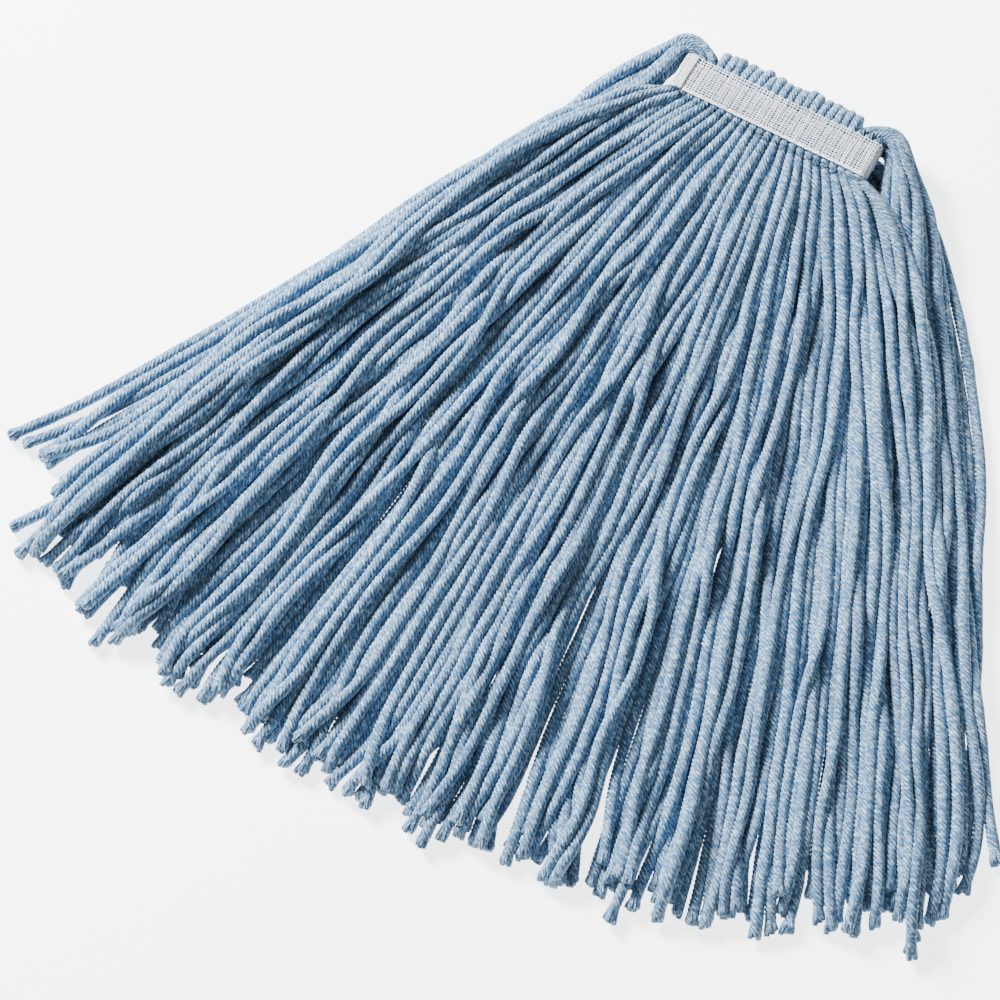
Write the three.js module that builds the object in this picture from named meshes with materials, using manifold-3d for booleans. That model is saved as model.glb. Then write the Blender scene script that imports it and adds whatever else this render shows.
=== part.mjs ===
// String mop head: cut-end yarns sewn across their middle under a narrow mesh headband.
// It lies on a flat surface with both halves of its yarns spread towards -Y.
//
// Frame: millimetres, +Z up, X along the headband, origin on the surface under the middle of the
// headband's front edge. The front tails leave the tape at y = 0. The rear tails leave it at its
// rear edge, fold over and run back underneath, and those at its two ends pass round its corners.

import * as THREE from 'three';
import { mergeVertices } from 'three/addons/utils/BufferGeometryUtils.js';
import Module from 'manifold-3d';

const wasm = await Module();
wasm.setup();

// ---- driving dimensions -------------------------------------------------------------------

const BAND_LENGTH = 125; // headband along X
const BAND_DEPTH = 25; // width of the tape, along Y
const BAND_TILT = 6; // degrees that the band leans back over its fold
const TAPE_WALL = 0.8;
const TAPE_CORNER = 3.5; // outside radius where the tape turns round the ends of the yarns
const CLEARANCE = 0.4; // between pieces that touch on the real mop

const COLUMNS = 25; // yarns side by side in the band
const CORNER_COLUMNS = 4; // at each end, whose rear tails pass round the band's corner
const YARN_DIAMETER = 6;
const PACK_THICKNESS = 13; // four rows of yarn pinched inside the tape
const FRONT_TAIL = 462; // from the tape's front edge to the tip, before the fan's trim
const REAR_TAIL = 495; // from the tape's rear edge to the tip
const FRINGE_UNEVENNESS = 14; // spread of the bundles' cut ends

const UNDER_THICKNESS = 11.5; // rear layer below the band
const FOLD_THICKNESS = 9; // yarns drawn tight where they turn over
const FOLD_REACH = 10; // how far the middle of the fold stands behind the tape

// Headings in degrees from -Y, positive towards +X, at the two sides of each fan.
const FRONT_SPREAD = { atBand: 45, atTip: 22, lean: 2, relax: 80 };
const UNDER_SPREAD = { atBand: 42, atTip: 21, lean: 2, relax: 120 };
const LEFT_CORNER = { side: -1, room: 5, atBand: 28, atTip: [22, 25.5] };
const RIGHT_CORNER = { side: 1, room: 9, atBand: 40, atTip: [21, 27.5] };
const CORNER_RELAX = 100;
const CORNER_TURN = 154; // degrees that a corner yarn turns before it runs forward
const CORNER_DROP = 110; // length in which a corner tail comes down to the surface

const TAIL_STEPS = 10;
const FOLD_STEPS = 5;

// ---- derived places -----------------------------------------------------------------------

const HALF_BAND = BAND_LENGTH / 2;
const PITCH = BAND_LENGTH / COLUMNS;
const HALF_UNDER = HALF_BAND - CORNER_COLUMNS * PITCH;
const TILT = THREE.MathUtils.degToRad(BAND_TILT);
const TAPE_BOTTOM = UNDER_THICKNESS + CLEARANCE;
const PACK_BOTTOM = TAPE_BOTTOM + TAPE_WALL + CLEARANCE;
const PACK_MIDDLE = PACK_BOTTOM + PACK_THICKNESS / 2;
const FRONT_MIDDLE = PACK_MIDDLE + BAND_DEPTH * Math.sin(TILT);
const UNDER_MIDDLE = UNDER_THICKNESS / 2;
const FOLD_MIDDLE = (PACK_MIDDLE + UNDER_MIDDLE) / 2;
const FOLD_RISE = (PACK_MIDDLE - UNDER_MIDDLE) / 2;

// ---- finishes -----------------------------------------------------------------------------

const yarnFinish = new THREE.MeshStandardMaterial({ color: 0x86a9cd, roughness: 0.95, metalness: 0 });
const foldFinish = new THREE.MeshStandardMaterial({ color: 0x7698bf, roughness: 0.95, metalness: 0 });
const tapeFinish = new THREE.MeshStandardMaterial({ color: 0xeef0f4, roughness: 0.85, metalness: 0 });
const threadFinish = new THREE.MeshStandardMaterial({ color: 0xffffff, roughness: 0.7, metalness: 0 });

// ---- small helpers ------------------------------------------------------------------------

const { degToRad, lerp, smoothstep } = THREE.MathUtils;

function heading(degrees) {
  const angle = degToRad(degrees);
  return new THREE.Vector2(Math.sin(angle), -Math.cos(angle));
}

// Where a tail lies in plan, `along` millimetres from `start`: it leaves on one heading and eases
// over to another as the fan opens.
function fanPoint(start, headingAtBand, headingAtTip, relax, along) {
  const first = heading(headingAtBand);
  const last = heading(headingAtTip);
  const eased = relax * (1 - Math.exp(-along / relax));
  return start.clone().addScaledVector(last, along).addScaledVector(first.sub(last), eased);
}

// The unit section of every bundle of yarns: flat above and below, with chamfered sides.
function bundleSection() {
  const edge = 0.5;
  const flat = 0.34;
  const side = 0.26;
  const corners = [
    [-flat, -edge], [flat, -edge], [edge, -side], [edge, side],
    [flat, edge], [-flat, edge], [-edge, side], [-edge, -side],
  ];
  return new THREE.Shape(corners.map(([x, y]) => new THREE.Vector2(x, y)));
}

// A bundle is its unit section drawn from t = 0 to t = 1 and bent by `place(u, v, t)`.
function bundle(name, finish, steps, place) {
  const straight = new THREE.ExtrudeGeometry(bundleSection(), { depth: 1, steps, bevelEnabled: false });
  straight.deleteAttribute('normal');
  straight.deleteAttribute('uv');
  const position = straight.getAttribute('position');
  for (let i = 0; i < position.count; i += 1) {
    const point = place(position.getX(i), position.getY(i), position.getZ(i));
    position.setXYZ(i, point.x, point.y, point.z);
  }
  const geometry = mergeVertices(straight, 1e-4);
  geometry.computeVertexNormals();
  const mesh = new THREE.Mesh(geometry, finish);
  mesh.name = name;
  return mesh;
}

// How far down its tail a section lies. Neighbours share their sections' places, except at their
// cut ends, which differ a little from bundle to bundle.
function alongTail(t, longest, index) {
  const cut = FRINGE_UNEVENNESS * Math.abs(Math.sin(index * 2.4));
  return Math.min(t * longest, longest - cut);
}

// Narrows a share of the fan so that neighbouring bundles stay clear of each other.
function clearOfNeighbours(width) {
  return 1 - CLEARANCE / width;
}

function numbered(stem, index) {
  return `${stem}_${String(index).padStart(2, '0')}`;
}

// ---- the two layers of tails --------------------------------------------------------------

// Both layers are deep where the band pinches them and thin out as the fan opens.
function underThickness(along) {
  return lerp(UNDER_THICKNESS, YARN_DIAMETER, smoothstep(along, 20, 300));
}

function frontThickness(along) {
  return lerp(PACK_THICKNESS, YARN_DIAMETER, smoothstep(along, 30, 300));
}

function frontHeight(along) {
  const resting = underThickness(along + BAND_DEPTH) + CLEARANCE + frontThickness(along) / 2;
  return lerp(FRONT_MIDDLE, resting, smoothstep(along, 0, 90));
}

function frontPlan(share, along) {
  const { atBand, atTip, lean, relax } = FRONT_SPREAD;
  const start = new THREE.Vector2(share * HALF_BAND, 0);
  return fanPoint(start, share * atBand, share * atTip + lean, relax, along);
}

function frontTails() {
  const group = new THREE.Group();
  const firstStep = 2; // just clear of the tape's edge
  for (let column = 1; column <= COLUMNS; column += 1) {
    const share = (2 * column - 1 - COLUMNS) / COLUMNS;
    group.add(bundle(numbered('front_yarns', column), yarnFinish, TAIL_STEPS, (u, v, t) => {
      const along = firstStep + alongTail(t, FRONT_TAIL, column);
      const left = frontPlan(share - 1 / COLUMNS, along);
      const right = frontPlan(share + 1 / COLUMNS, along);
      const keep = clearOfNeighbours(left.distanceTo(right));
      const plan = left.lerp(right, 0.5 + u * keep);
      return new THREE.Vector3(plan.x, plan.y, frontHeight(along) + v * frontThickness(along));
    }));
  }
  return group;
}

function underPlan(share, along) {
  const { atBand, atTip, lean, relax } = UNDER_SPREAD;
  const start = new THREE.Vector2(share * HALF_UNDER, BAND_DEPTH);
  return fanPoint(start, share * atBand, share * atTip + lean, relax, along);
}

// A rear tail below the band starts at the crest of the fold, heading down, and turns forward.
function underTails() {
  const group = new THREE.Group();
  const columns = COLUMNS - 2 * CORNER_COLUMNS;
  const turnSteps = 3;
  const turnShare = turnSteps / (TAIL_STEPS + turnSteps);
  const length = REAR_TAIL - 30;
  for (let column = 1; column <= columns; column += 1) {
    const share = (2 * column - 1 - columns) / columns;
    const name = numbered('rear_yarns', column + CORNER_COLUMNS);
    group.add(bundle(name, yarnFinish, TAIL_STEPS + turnSteps, (u, v, t) => {
      const beyondTurn = Math.max(0, (t - turnShare) / (1 - turnShare));
      const along = alongTail(beyondTurn, length, column);
      const left = underPlan(share - 1 / columns, along);
      const right = underPlan(share + 1 / columns, along);
      const keep = clearOfNeighbours(left.distanceTo(right));
      const plan = left.lerp(right, 0.5 + u * keep);
      if (beyondTurn > 0) {
        return new THREE.Vector3(plan.x, plan.y, underThickness(along) * (0.5 + v));
      }
      return foldPoint(plan.x, (Math.PI / 2) * (t / turnShare), v, CLEARANCE);
    }));
  }
  return group;
}

// A point of the fold behind the tape: `turned` is 0 at the crest, and grows downwards. `inward`
// runs from -0.5 outside to 0.5 inside, and `drop` opens the joint at the crest.
function foldPoint(x, turned, inward, drop) {
  const below = Math.sin(turned);
  const behind = Math.cos(turned);
  const full = turned > 0 ? UNDER_THICKNESS : PACK_THICKNESS;
  const thickness = lerp(FOLD_THICKNESS, full, below * below);
  const y = BAND_DEPTH + (FOLD_REACH - inward * thickness) * behind;
  const z = FOLD_MIDDLE - (FOLD_RISE - inward * thickness) * below;
  return new THREE.Vector3(x, y, z - drop * behind);
}

// ---- tails that pass round the band's corners ---------------------------------------------

// Plan of a corner yarn, from the depth that its column lies inside the band's end.
function cornerPlan(corner, inside, along) {
  const radius = corner.room + inside;
  const centre = corner.side * (HALF_BAND + corner.room);
  const turn = degToRad(CORNER_TURN);
  const arc = radius * turn;
  if (along < arc) {
    const angle = along / radius;
    const x = centre - corner.side * radius * Math.cos(angle);
    return new THREE.Vector2(x, BAND_DEPTH + radius * Math.sin(angle));
  }
  const x = centre - corner.side * radius * Math.cos(turn);
  const start = new THREE.Vector2(x, BAND_DEPTH + radius * Math.sin(turn));
  const depth = inside / (CORNER_COLUMNS * PITCH);
  const atTip = lerp(corner.atTip[0], corner.atTip[1], depth);
  return fanPoint(start, corner.side * corner.atBand, corner.side * atTip, CORNER_RELAX, along - arc);
}

const CORNER_THICKNESS = 10;
const CORNER_HEIGHT = FOLD_MIDDLE + CORNER_THICKNESS / 2 + CLEARANCE; // their middle when come round
const CORNER_TAIL = REAR_TAIL - 50; // what is left of a rear tail beyond the corner

function cornerTails(corner, firstColumn) {
  const group = new THREE.Group();
  for (let step = 0; step < CORNER_COLUMNS; step += 1) {
    const column = firstColumn + step;
    const inner = corner.side < 0 ? step * PITCH : (CORNER_COLUMNS - 1 - step) * PITCH;
    const sides = [inner, inner + PITCH];
    const arcs = sides.map((inside) => (corner.room + inside) * degToRad(CORNER_TURN));
    group.add(bundle(numbered('rear_yarns', column), yarnFinish, TAIL_STEPS, (u, v, t) => {
      const free = 2 * CLEARANCE + alongTail(t, CORNER_TAIL, column);
      const near = cornerPlan(corner, sides[0], arcs[0] + free);
      const far = cornerPlan(corner, sides[1], arcs[1] + free);
      const keep = clearOfNeighbours(near.distanceTo(far));
      const plan = near.lerp(far, 0.5 + corner.side * u * keep);
      const fallen = smoothstep(free, 0, CORNER_DROP);
      const thickness = lerp(CORNER_THICKNESS, YARN_DIAMETER * 1.5, smoothstep(free, 0, 300));
      const middle = lerp(CORNER_HEIGHT, thickness / 2, fallen);
      return new THREE.Vector3(plan.x, plan.y, middle + v * thickness);
    }));
  }
  return group;
}

// ---- the sewn middle of the yarns ---------------------------------------------------------

// Height of the middle of the pack inside the tape, which leans back.
function packHeight(y) {
  return PACK_MIDDLE + (BAND_DEPTH - y) * Math.tan(TILT);
}

// Columns between two places in the band: straight through the tape, then up to the fold's crest.
function sewnMiddle(name, low, high) {
  const straightShare = 2 / (FOLD_STEPS + 2);
  return bundle(name, foldFinish, FOLD_STEPS + 2, (u, v, t) => {
    const x = lerp(low, high, 0.5 + u * clearOfNeighbours(high - low));
    if (t <= straightShare) {
      const y = lerp(0, BAND_DEPTH, t / straightShare);
      return new THREE.Vector3(x, y, packHeight(y) - v * PACK_THICKNESS);
    }
    const turned = (-Math.PI / 2) * (1 - (t - straightShare) / (1 - straightShare));
    return foldPoint(x, turned, v, -CLEARANCE);
  });
}

// The end columns: straight through the tape, then flat round the corner, coming down a little.
function sewnCorner(name, corner) {
  const width = CORNER_COLUMNS * PITCH;
  const cornerSteps = 8;
  const straightShare = 2 / (cornerSteps + 2);
  return bundle(name, foldFinish, cornerSteps + 2, (u, v, t) => {
    const inside = width * (0.5 - corner.side * u * clearOfNeighbours(width));
    if (t <= straightShare) {
      const y = lerp(0, BAND_DEPTH, t / straightShare);
      const x = corner.side * (HALF_BAND - inside);
      return new THREE.Vector3(x, y, packHeight(y) - v * PACK_THICKNESS);
    }
    const round = (t - straightShare) / (1 - straightShare);
    const arc = (corner.room + inside) * degToRad(CORNER_TURN);
    const plan = cornerPlan(corner, inside, arc * round * 0.9999);
    const height = lerp(PACK_MIDDLE, CORNER_HEIGHT, smoothstep(round, 0, 1));
    const thickness = lerp(PACK_THICKNESS, CORNER_THICKNESS, round);
    return new THREE.Vector3(plan.x, plan.y, height - v * thickness);
  });
}

function sewnYarns() {
  const group = new THREE.Group();
  const parts = 4;
  group.add(sewnCorner('sewn_yarns_left_end', LEFT_CORNER));
  for (let part = 0; part < parts; part += 1) {
    const low = lerp(-HALF_UNDER, HALF_UNDER, part / parts);
    const high = lerp(-HALF_UNDER, HALF_UNDER, (part + 1) / parts);
    group.add(sewnMiddle(`sewn_yarns_middle_${part + 1}`, low, high));
  }
  group.add(sewnCorner('sewn_yarns_right_end', RIGHT_CORNER));
  return group;
}

// ---- headband -----------------------------------------------------------------------------

function roundedOutline(path, halfLength, low, high, radius) {
  path.moveTo(-halfLength + radius, low);
  path.lineTo(halfLength - radius, low);
  path.absarc(halfLength - radius, low + radius, radius, -Math.PI / 2, 0);
  path.lineTo(halfLength, high - radius);
  path.absarc(halfLength - radius, high - radius, radius, 0, Math.PI / 2);
  path.lineTo(-halfLength + radius, high);
  path.absarc(-halfLength + radius, high - radius, radius, Math.PI / 2, Math.PI);
  path.lineTo(-halfLength, low + radius);
  path.absarc(-halfLength + radius, low + radius, radius, Math.PI, 1.5 * Math.PI);
  path.closePath();
  return path;
}

function namedMesh(name, geometry, finish) {
  const mesh = new THREE.Mesh(geometry, finish);
  mesh.name = name;
  return mesh;
}

function solidOf(geometry) {
  const bare = geometry.clone();
  bare.deleteAttribute('normal');
  bare.deleteAttribute('uv');
  const merged = mergeVertices(bare, 1e-4);
  const vertProperties = merged.getAttribute('position').array;
  const triVerts = new Uint32Array(merged.index.array);
  return new wasm.Manifold(new wasm.Mesh({ numProp: 3, vertProperties, triVerts }));
}

function joined(first, second) {
  const mesh = solidOf(first).add(solidOf(second)).getMesh();
  const geometry = new THREE.BufferGeometry();
  geometry.setAttribute('position', new THREE.BufferAttribute(mesh.vertProperties, 3));
  geometry.setIndex(new THREE.BufferAttribute(mesh.triVerts, 1));
  geometry.computeVertexNormals();
  return geometry;
}

const TAPE_TOP = PACK_THICKNESS + CLEARANCE + TAPE_WALL;
const ON_TAPE = TAPE_TOP + CLEARANCE; // underside of what is sewn to the top face
const FRONT_SEAM = 2.2; // places along Y, on the tape
const REAR_SEAM = BAND_DEPTH - 5;
const END_FOLD = 6;

// Between its two rows of stitching the mesh stands up, pillowed by the yarns under it. This low
// crown is a little higher than the stitches, and is what a handle's clamp bears on.
function pillow() {
  const roomForSeam = 1.4;
  const left = -HALF_BAND + TAPE_CORNER + END_FOLD + 1;
  const right = HALF_BAND - TAPE_CORNER;
  const front = FRONT_SEAM + roomForSeam;
  const rear = REAR_SEAM - roomForSeam;
  const bottom = TAPE_TOP - TAPE_WALL / 2;
  const top = ON_TAPE + TAPE_WALL + 0.1;
  const geometry = new THREE.BoxGeometry(right - left, rear - front, top - bottom);
  geometry.translate((left + right) / 2, (front + rear) / 2, (bottom + top) / 2);
  return geometry;
}

// The tape is one strip round the whole pack, open at the front and the rear where yarns pass.
function tapeLoop() {
  const inside = CLEARANCE;
  const outside = CLEARANCE + TAPE_WALL;
  const top = PACK_THICKNESS;
  const loop = roundedOutline(new THREE.Shape(), HALF_BAND + outside, -outside, top + outside, TAPE_CORNER);
  const innerCorner = TAPE_CORNER - TAPE_WALL;
  loop.holes.push(roundedOutline(new THREE.Path(), HALF_BAND + inside, -inside, top + inside, innerCorner));
  const geometry = new THREE.ExtrudeGeometry(loop, { depth: BAND_DEPTH, bevelEnabled: false, curveSegments: 4 });
  geometry.rotateX(Math.PI / 2);
  geometry.translate(0, BAND_DEPTH, 0);
  return namedMesh('headband_tape', joined(geometry, pillow()), tapeFinish);
}

// The tape's end is turned over on itself at the left and lies doubled on the top face.
function tapeEndFold() {
  const geometry = new THREE.BoxGeometry(END_FOLD, BAND_DEPTH - 1, TAPE_WALL);
  geometry.translate(-HALF_BAND + TAPE_CORNER + END_FOLD / 2, BAND_DEPTH / 2, ON_TAPE + TAPE_WALL / 2);
  return namedMesh('headband_end_fold', geometry, tapeFinish);
}

// One row of lockstitch: a low hump for every stitch.
function seam(name, y) {
  const stitch = 5;
  const low = 0.25;
  const crown = 0.7;
  const start = -HALF_BAND + TAPE_CORNER + END_FOLD + 1;
  const count = Math.floor((HALF_BAND - TAPE_CORNER - start) / stitch);
  const outline = new THREE.Shape();
  outline.moveTo(start, 0);
  outline.lineTo(start + count * stitch, 0);
  outline.lineTo(start + count * stitch, low);
  for (let i = count; i > 0; i -= 1) {
    const right = start + i * stitch;
    outline.lineTo(right - stitch * 0.25, crown);
    outline.lineTo(right - stitch * 0.75, crown);
    outline.lineTo(right - stitch, low);
  }
  outline.closePath();
  const width = 0.9;
  const geometry = new THREE.ExtrudeGeometry(outline, { depth: width, bevelEnabled: false });
  geometry.rotateX(Math.PI / 2);
  geometry.translate(0, y + width / 2, ON_TAPE);
  return namedMesh(name, geometry, threadFinish);
}

// The band is built level with the pack's underside at zero, then leaned back about its rear edge.
function headband() {
  const level = new THREE.Group();
  level.add(tapeLoop(), tapeEndFold(), seam('seam_front', FRONT_SEAM), seam('seam_rear', REAR_SEAM));
  level.position.y = -BAND_DEPTH;
  const leaning = new THREE.Group();
  leaning.add(level);
  leaning.rotation.x = -TILT;
  leaning.position.set(0, BAND_DEPTH, PACK_BOTTOM);
  return leaning;
}

// ---- the whole mop ------------------------------------------------------------------------

const mop = new THREE.Group();
mop.add(headband(), sewnYarns(), frontTails(), underTails());
mop.add(cornerTails(LEFT_CORNER, 1), cornerTails(RIGHT_CORNER, COLUMNS - CORNER_COLUMNS + 1));

export default mop;
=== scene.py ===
"""The finished look of a cut-end string mop head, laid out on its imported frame.

Every yarn runs from its front tip, through the headband, round the fold behind it and on to its
rear tip. The tails are laid down one at a time on the pile of those already there: each slides
sideways into the valleys below it, then sags onto what holds it up. Metres, +Z up, as in the frame.
"""
import logging
import math
from collections.abc import Callable
from dataclasses import dataclass, field
from enum import Enum

import bpy
import numpy as np
from mathutils import Matrix, Vector


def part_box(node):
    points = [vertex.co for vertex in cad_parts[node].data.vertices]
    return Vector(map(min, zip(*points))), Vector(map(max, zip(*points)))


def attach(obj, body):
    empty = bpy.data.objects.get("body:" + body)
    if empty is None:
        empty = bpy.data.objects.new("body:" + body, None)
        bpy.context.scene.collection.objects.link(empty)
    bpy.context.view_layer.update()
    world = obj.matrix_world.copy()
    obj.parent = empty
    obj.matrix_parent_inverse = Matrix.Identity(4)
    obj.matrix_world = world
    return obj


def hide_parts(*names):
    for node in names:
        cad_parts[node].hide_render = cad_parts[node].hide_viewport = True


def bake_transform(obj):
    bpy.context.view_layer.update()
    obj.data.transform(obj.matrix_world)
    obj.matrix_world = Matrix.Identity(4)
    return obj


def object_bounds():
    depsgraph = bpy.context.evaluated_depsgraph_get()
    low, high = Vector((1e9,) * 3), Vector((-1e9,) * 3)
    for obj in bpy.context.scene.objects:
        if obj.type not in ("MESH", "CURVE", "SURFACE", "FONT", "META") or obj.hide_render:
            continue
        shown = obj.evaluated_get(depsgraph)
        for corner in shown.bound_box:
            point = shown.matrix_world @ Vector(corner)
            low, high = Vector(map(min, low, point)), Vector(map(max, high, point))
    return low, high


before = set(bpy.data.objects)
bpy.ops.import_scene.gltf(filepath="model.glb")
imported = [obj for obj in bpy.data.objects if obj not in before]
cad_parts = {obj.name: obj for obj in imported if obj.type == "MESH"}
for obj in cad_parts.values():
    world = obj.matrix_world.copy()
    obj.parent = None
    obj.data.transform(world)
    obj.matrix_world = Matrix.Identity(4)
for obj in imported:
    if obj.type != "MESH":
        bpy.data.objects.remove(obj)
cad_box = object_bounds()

Values = np.ndarray | float
Colour = tuple[float, float, float]
Pair = tuple[float, float]
PlanOf = Callable[[np.ndarray], np.ndarray]

log = logging.getLogger("string_mop")
MM = 0.001
TURN = 2 * math.pi
UP = np.array([0.0, 0.0, 1.0])


# ---- small helpers ----------------------------------------------------------------------------


def ease(value: Values, low: float, high: float) -> Values:
    """Smooth step from 0 at low to 1 at high."""
    share = np.clip((np.asarray(value, float) - low) / (high - low), 0, 1)
    return share * share * (3 - 2 * share)


def mix(low: Values, high: Values, share: Values) -> Values:
    """Straight mix of two values."""
    return low + (high - low) * share


def heading(degrees: Values) -> np.ndarray:
    """Unit direction in plan, counted in degrees from -Y, positive towards +X."""
    angle = np.radians(degrees)
    return np.stack([np.sin(angle), -np.cos(angle)], axis=-1)


def softened(points: np.ndarray, passes: int) -> np.ndarray:
    """Rounds off a line's corners, with both of its ends kept.

    Args:
        points: The line, one row for each point.
        passes: How many times each point moves towards its neighbours.

    Returns:
        A new line with as many points.
    """
    line = points.copy()
    for _ in range(passes):
        line[1:-1] = (line[:-2] + 2 * line[1:-1] + line[2:]) / 4
    return line


def arc_length(points: np.ndarray) -> np.ndarray:
    """Distance along a line to each of its points."""
    return np.concatenate([[0], np.cumsum(np.linalg.norm(np.diff(points, axis=0), axis=1))])


def respaced(columns: np.ndarray, points: np.ndarray, step: float) -> np.ndarray:
    """Reads columns of values at even steps along a line.

    Args:
        columns: Values to read, one row for each point of the line.
        points: The line, in three dimensions.
        step: Distance between the new places.

    Returns:
        The values at the new places, as columns.
    """
    along = arc_length(points)
    count = max(2, int(round(along[-1] / step)) + 1)
    places = np.linspace(0, along[-1], count)
    return np.stack([np.interp(places, along, column) for column in columns.T], axis=1)


# ---- finishes -----------------------------------------------------------------------------------


class NodeSketch:
    """A material's node tree with short calls to add and join nodes."""

    def __init__(self, name: str) -> None:
        """Starts a material with a Principled shader on its output.

        Args:
            name: The material's name.
        """
        self.material = bpy.data.materials.new(name)
        self.material.use_nodes = True
        self.tree = self.material.node_tree
        self.shader = self.tree.nodes["Principled BSDF"]

    def add(self, kind: str, **values: object) -> bpy.types.Node:
        """Adds a node and sets its properties.

        Args:
            kind: The node's type, such as ShaderNodeMath.
            **values: Properties of the node.

        Returns:
            The new node.
        """
        node = self.tree.nodes.new(kind)
        for name, value in values.items():
            setattr(node, name, value)
        return node

    def join(self, source: bpy.types.NodeSocket, target: bpy.types.NodeSocket) -> None:
        """Links one socket to another."""
        self.tree.links.new(source, target)

    def fill(self, socket: bpy.types.NodeSocket, value: object) -> None:
        """Links a socket to another one, or sets its value.

        Args:
            socket: The input to fill.
            value: A socket to link from, or a plain value.
        """
        if isinstance(value, bpy.types.NodeSocket):
            self.join(value, socket)
        else:
            socket.default_value = value

    def math(self, operation: str, *values: object, clamp: bool = False) -> bpy.types.NodeSocket:
        """Adds a Math node.

        Args:
            operation: The node's operation, such as MULTIPLY.
            *values: Sockets or numbers for its inputs.
            clamp: Whether the result is kept between 0 and 1.

        Returns:
            The node's output.
        """
        node = self.add("ShaderNodeMath", operation=operation, use_clamp=clamp)
        for socket, value in zip(node.inputs, values):
            self.fill(socket, value)
        return node.outputs[0]

    def combine(self, x: object, y: object, z: object) -> bpy.types.NodeSocket:
        """Makes a vector.

        Args:
            x: First part, as a socket or a number.
            y: Second part.
            z: Third part.

        Returns:
            The vector.
        """
        node = self.add("ShaderNodeCombineXYZ")
        for socket, value in zip(node.inputs, (x, y, z)):
            self.fill(socket, value)
        return node.outputs[0]

    def noise(self, vector: bpy.types.NodeSocket, scale: float, detail: float) -> bpy.types.NodeSocket:
        """Adds a Noise Texture.

        Args:
            vector: Where it is read.
            scale: Its scale.
            detail: How many finer layers it has.

        Returns:
            Its value.
        """
        node = self.add("ShaderNodeTexNoise")
        self.join(vector, node.inputs["Vector"])
        node.inputs["Scale"].default_value = scale
        node.inputs["Detail"].default_value = detail
        return node.outputs["Fac"]

    def band(self, value: object, low: float, high: float) -> bpy.types.NodeSocket:
        """Adds a smooth step.

        Args:
            value: The value to step on.
            low: Where the step is 0.
            high: Where it is 1.

        Returns:
            The stepped value.
        """
        node = self.add("ShaderNodeMapRange", interpolation_type="SMOOTHSTEP")
        self.fill(node.inputs["Value"], value)
        node.inputs["From Min"].default_value = low
        node.inputs["From Max"].default_value = high
        return node.outputs["Result"]

    def tint(self, share: object, low: object, high: object, blend: str = "MIX") -> bpy.types.NodeSocket:
        """Mixes two colours.

        Args:
            share: How much of the second colour there is.
            low: First colour, as a socket or as three numbers.
            high: Second colour, as a socket or as three numbers.
            blend: The Mix node's blend type.

        Returns:
            The mixed colour.
        """
        node = self.add("ShaderNodeMix", data_type="RGBA", blend_type=blend)
        self.fill(node.inputs["Factor"], share)
        for name, value in (("A", low), ("B", high)):
            socket = next(s for s in node.inputs if s.name == name and s.type == "RGBA")
            self.fill(socket, (*value, 1.0) if isinstance(value, tuple) else value)
        return next(s for s in node.outputs if s.type == "RGBA")

    def bump(self, height: bpy.types.NodeSocket, distance: float, strength: float) -> None:
        """Gives the shader a bump.

        Args:
            height: Its height, between 0 and 1.
            distance: What a height of 1 stands for.
            strength: Share of the bump that is used.
        """
        node = self.add("ShaderNodeBump")
        self.join(height, node.inputs["Height"])
        node.inputs["Distance"].default_value = distance
        node.inputs["Strength"].default_value = strength
        self.join(node.outputs["Normal"], self.shader.inputs["Normal"])

    def matt(self, roughness: float, sheen: float) -> None:
        """Sets the shader's even values for a soft dry textile.

        Args:
            roughness: Its roughness.
            sheen: Weight of its sheen.
        """
        self.shader.inputs["Roughness"].default_value = roughness
        self.shader.inputs["Specular IOR Level"].default_value = 0.2
        self.shader.inputs["Sheen Weight"].default_value = sheen
        self.shader.inputs["Sheen Roughness"].default_value = 0.5


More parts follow.
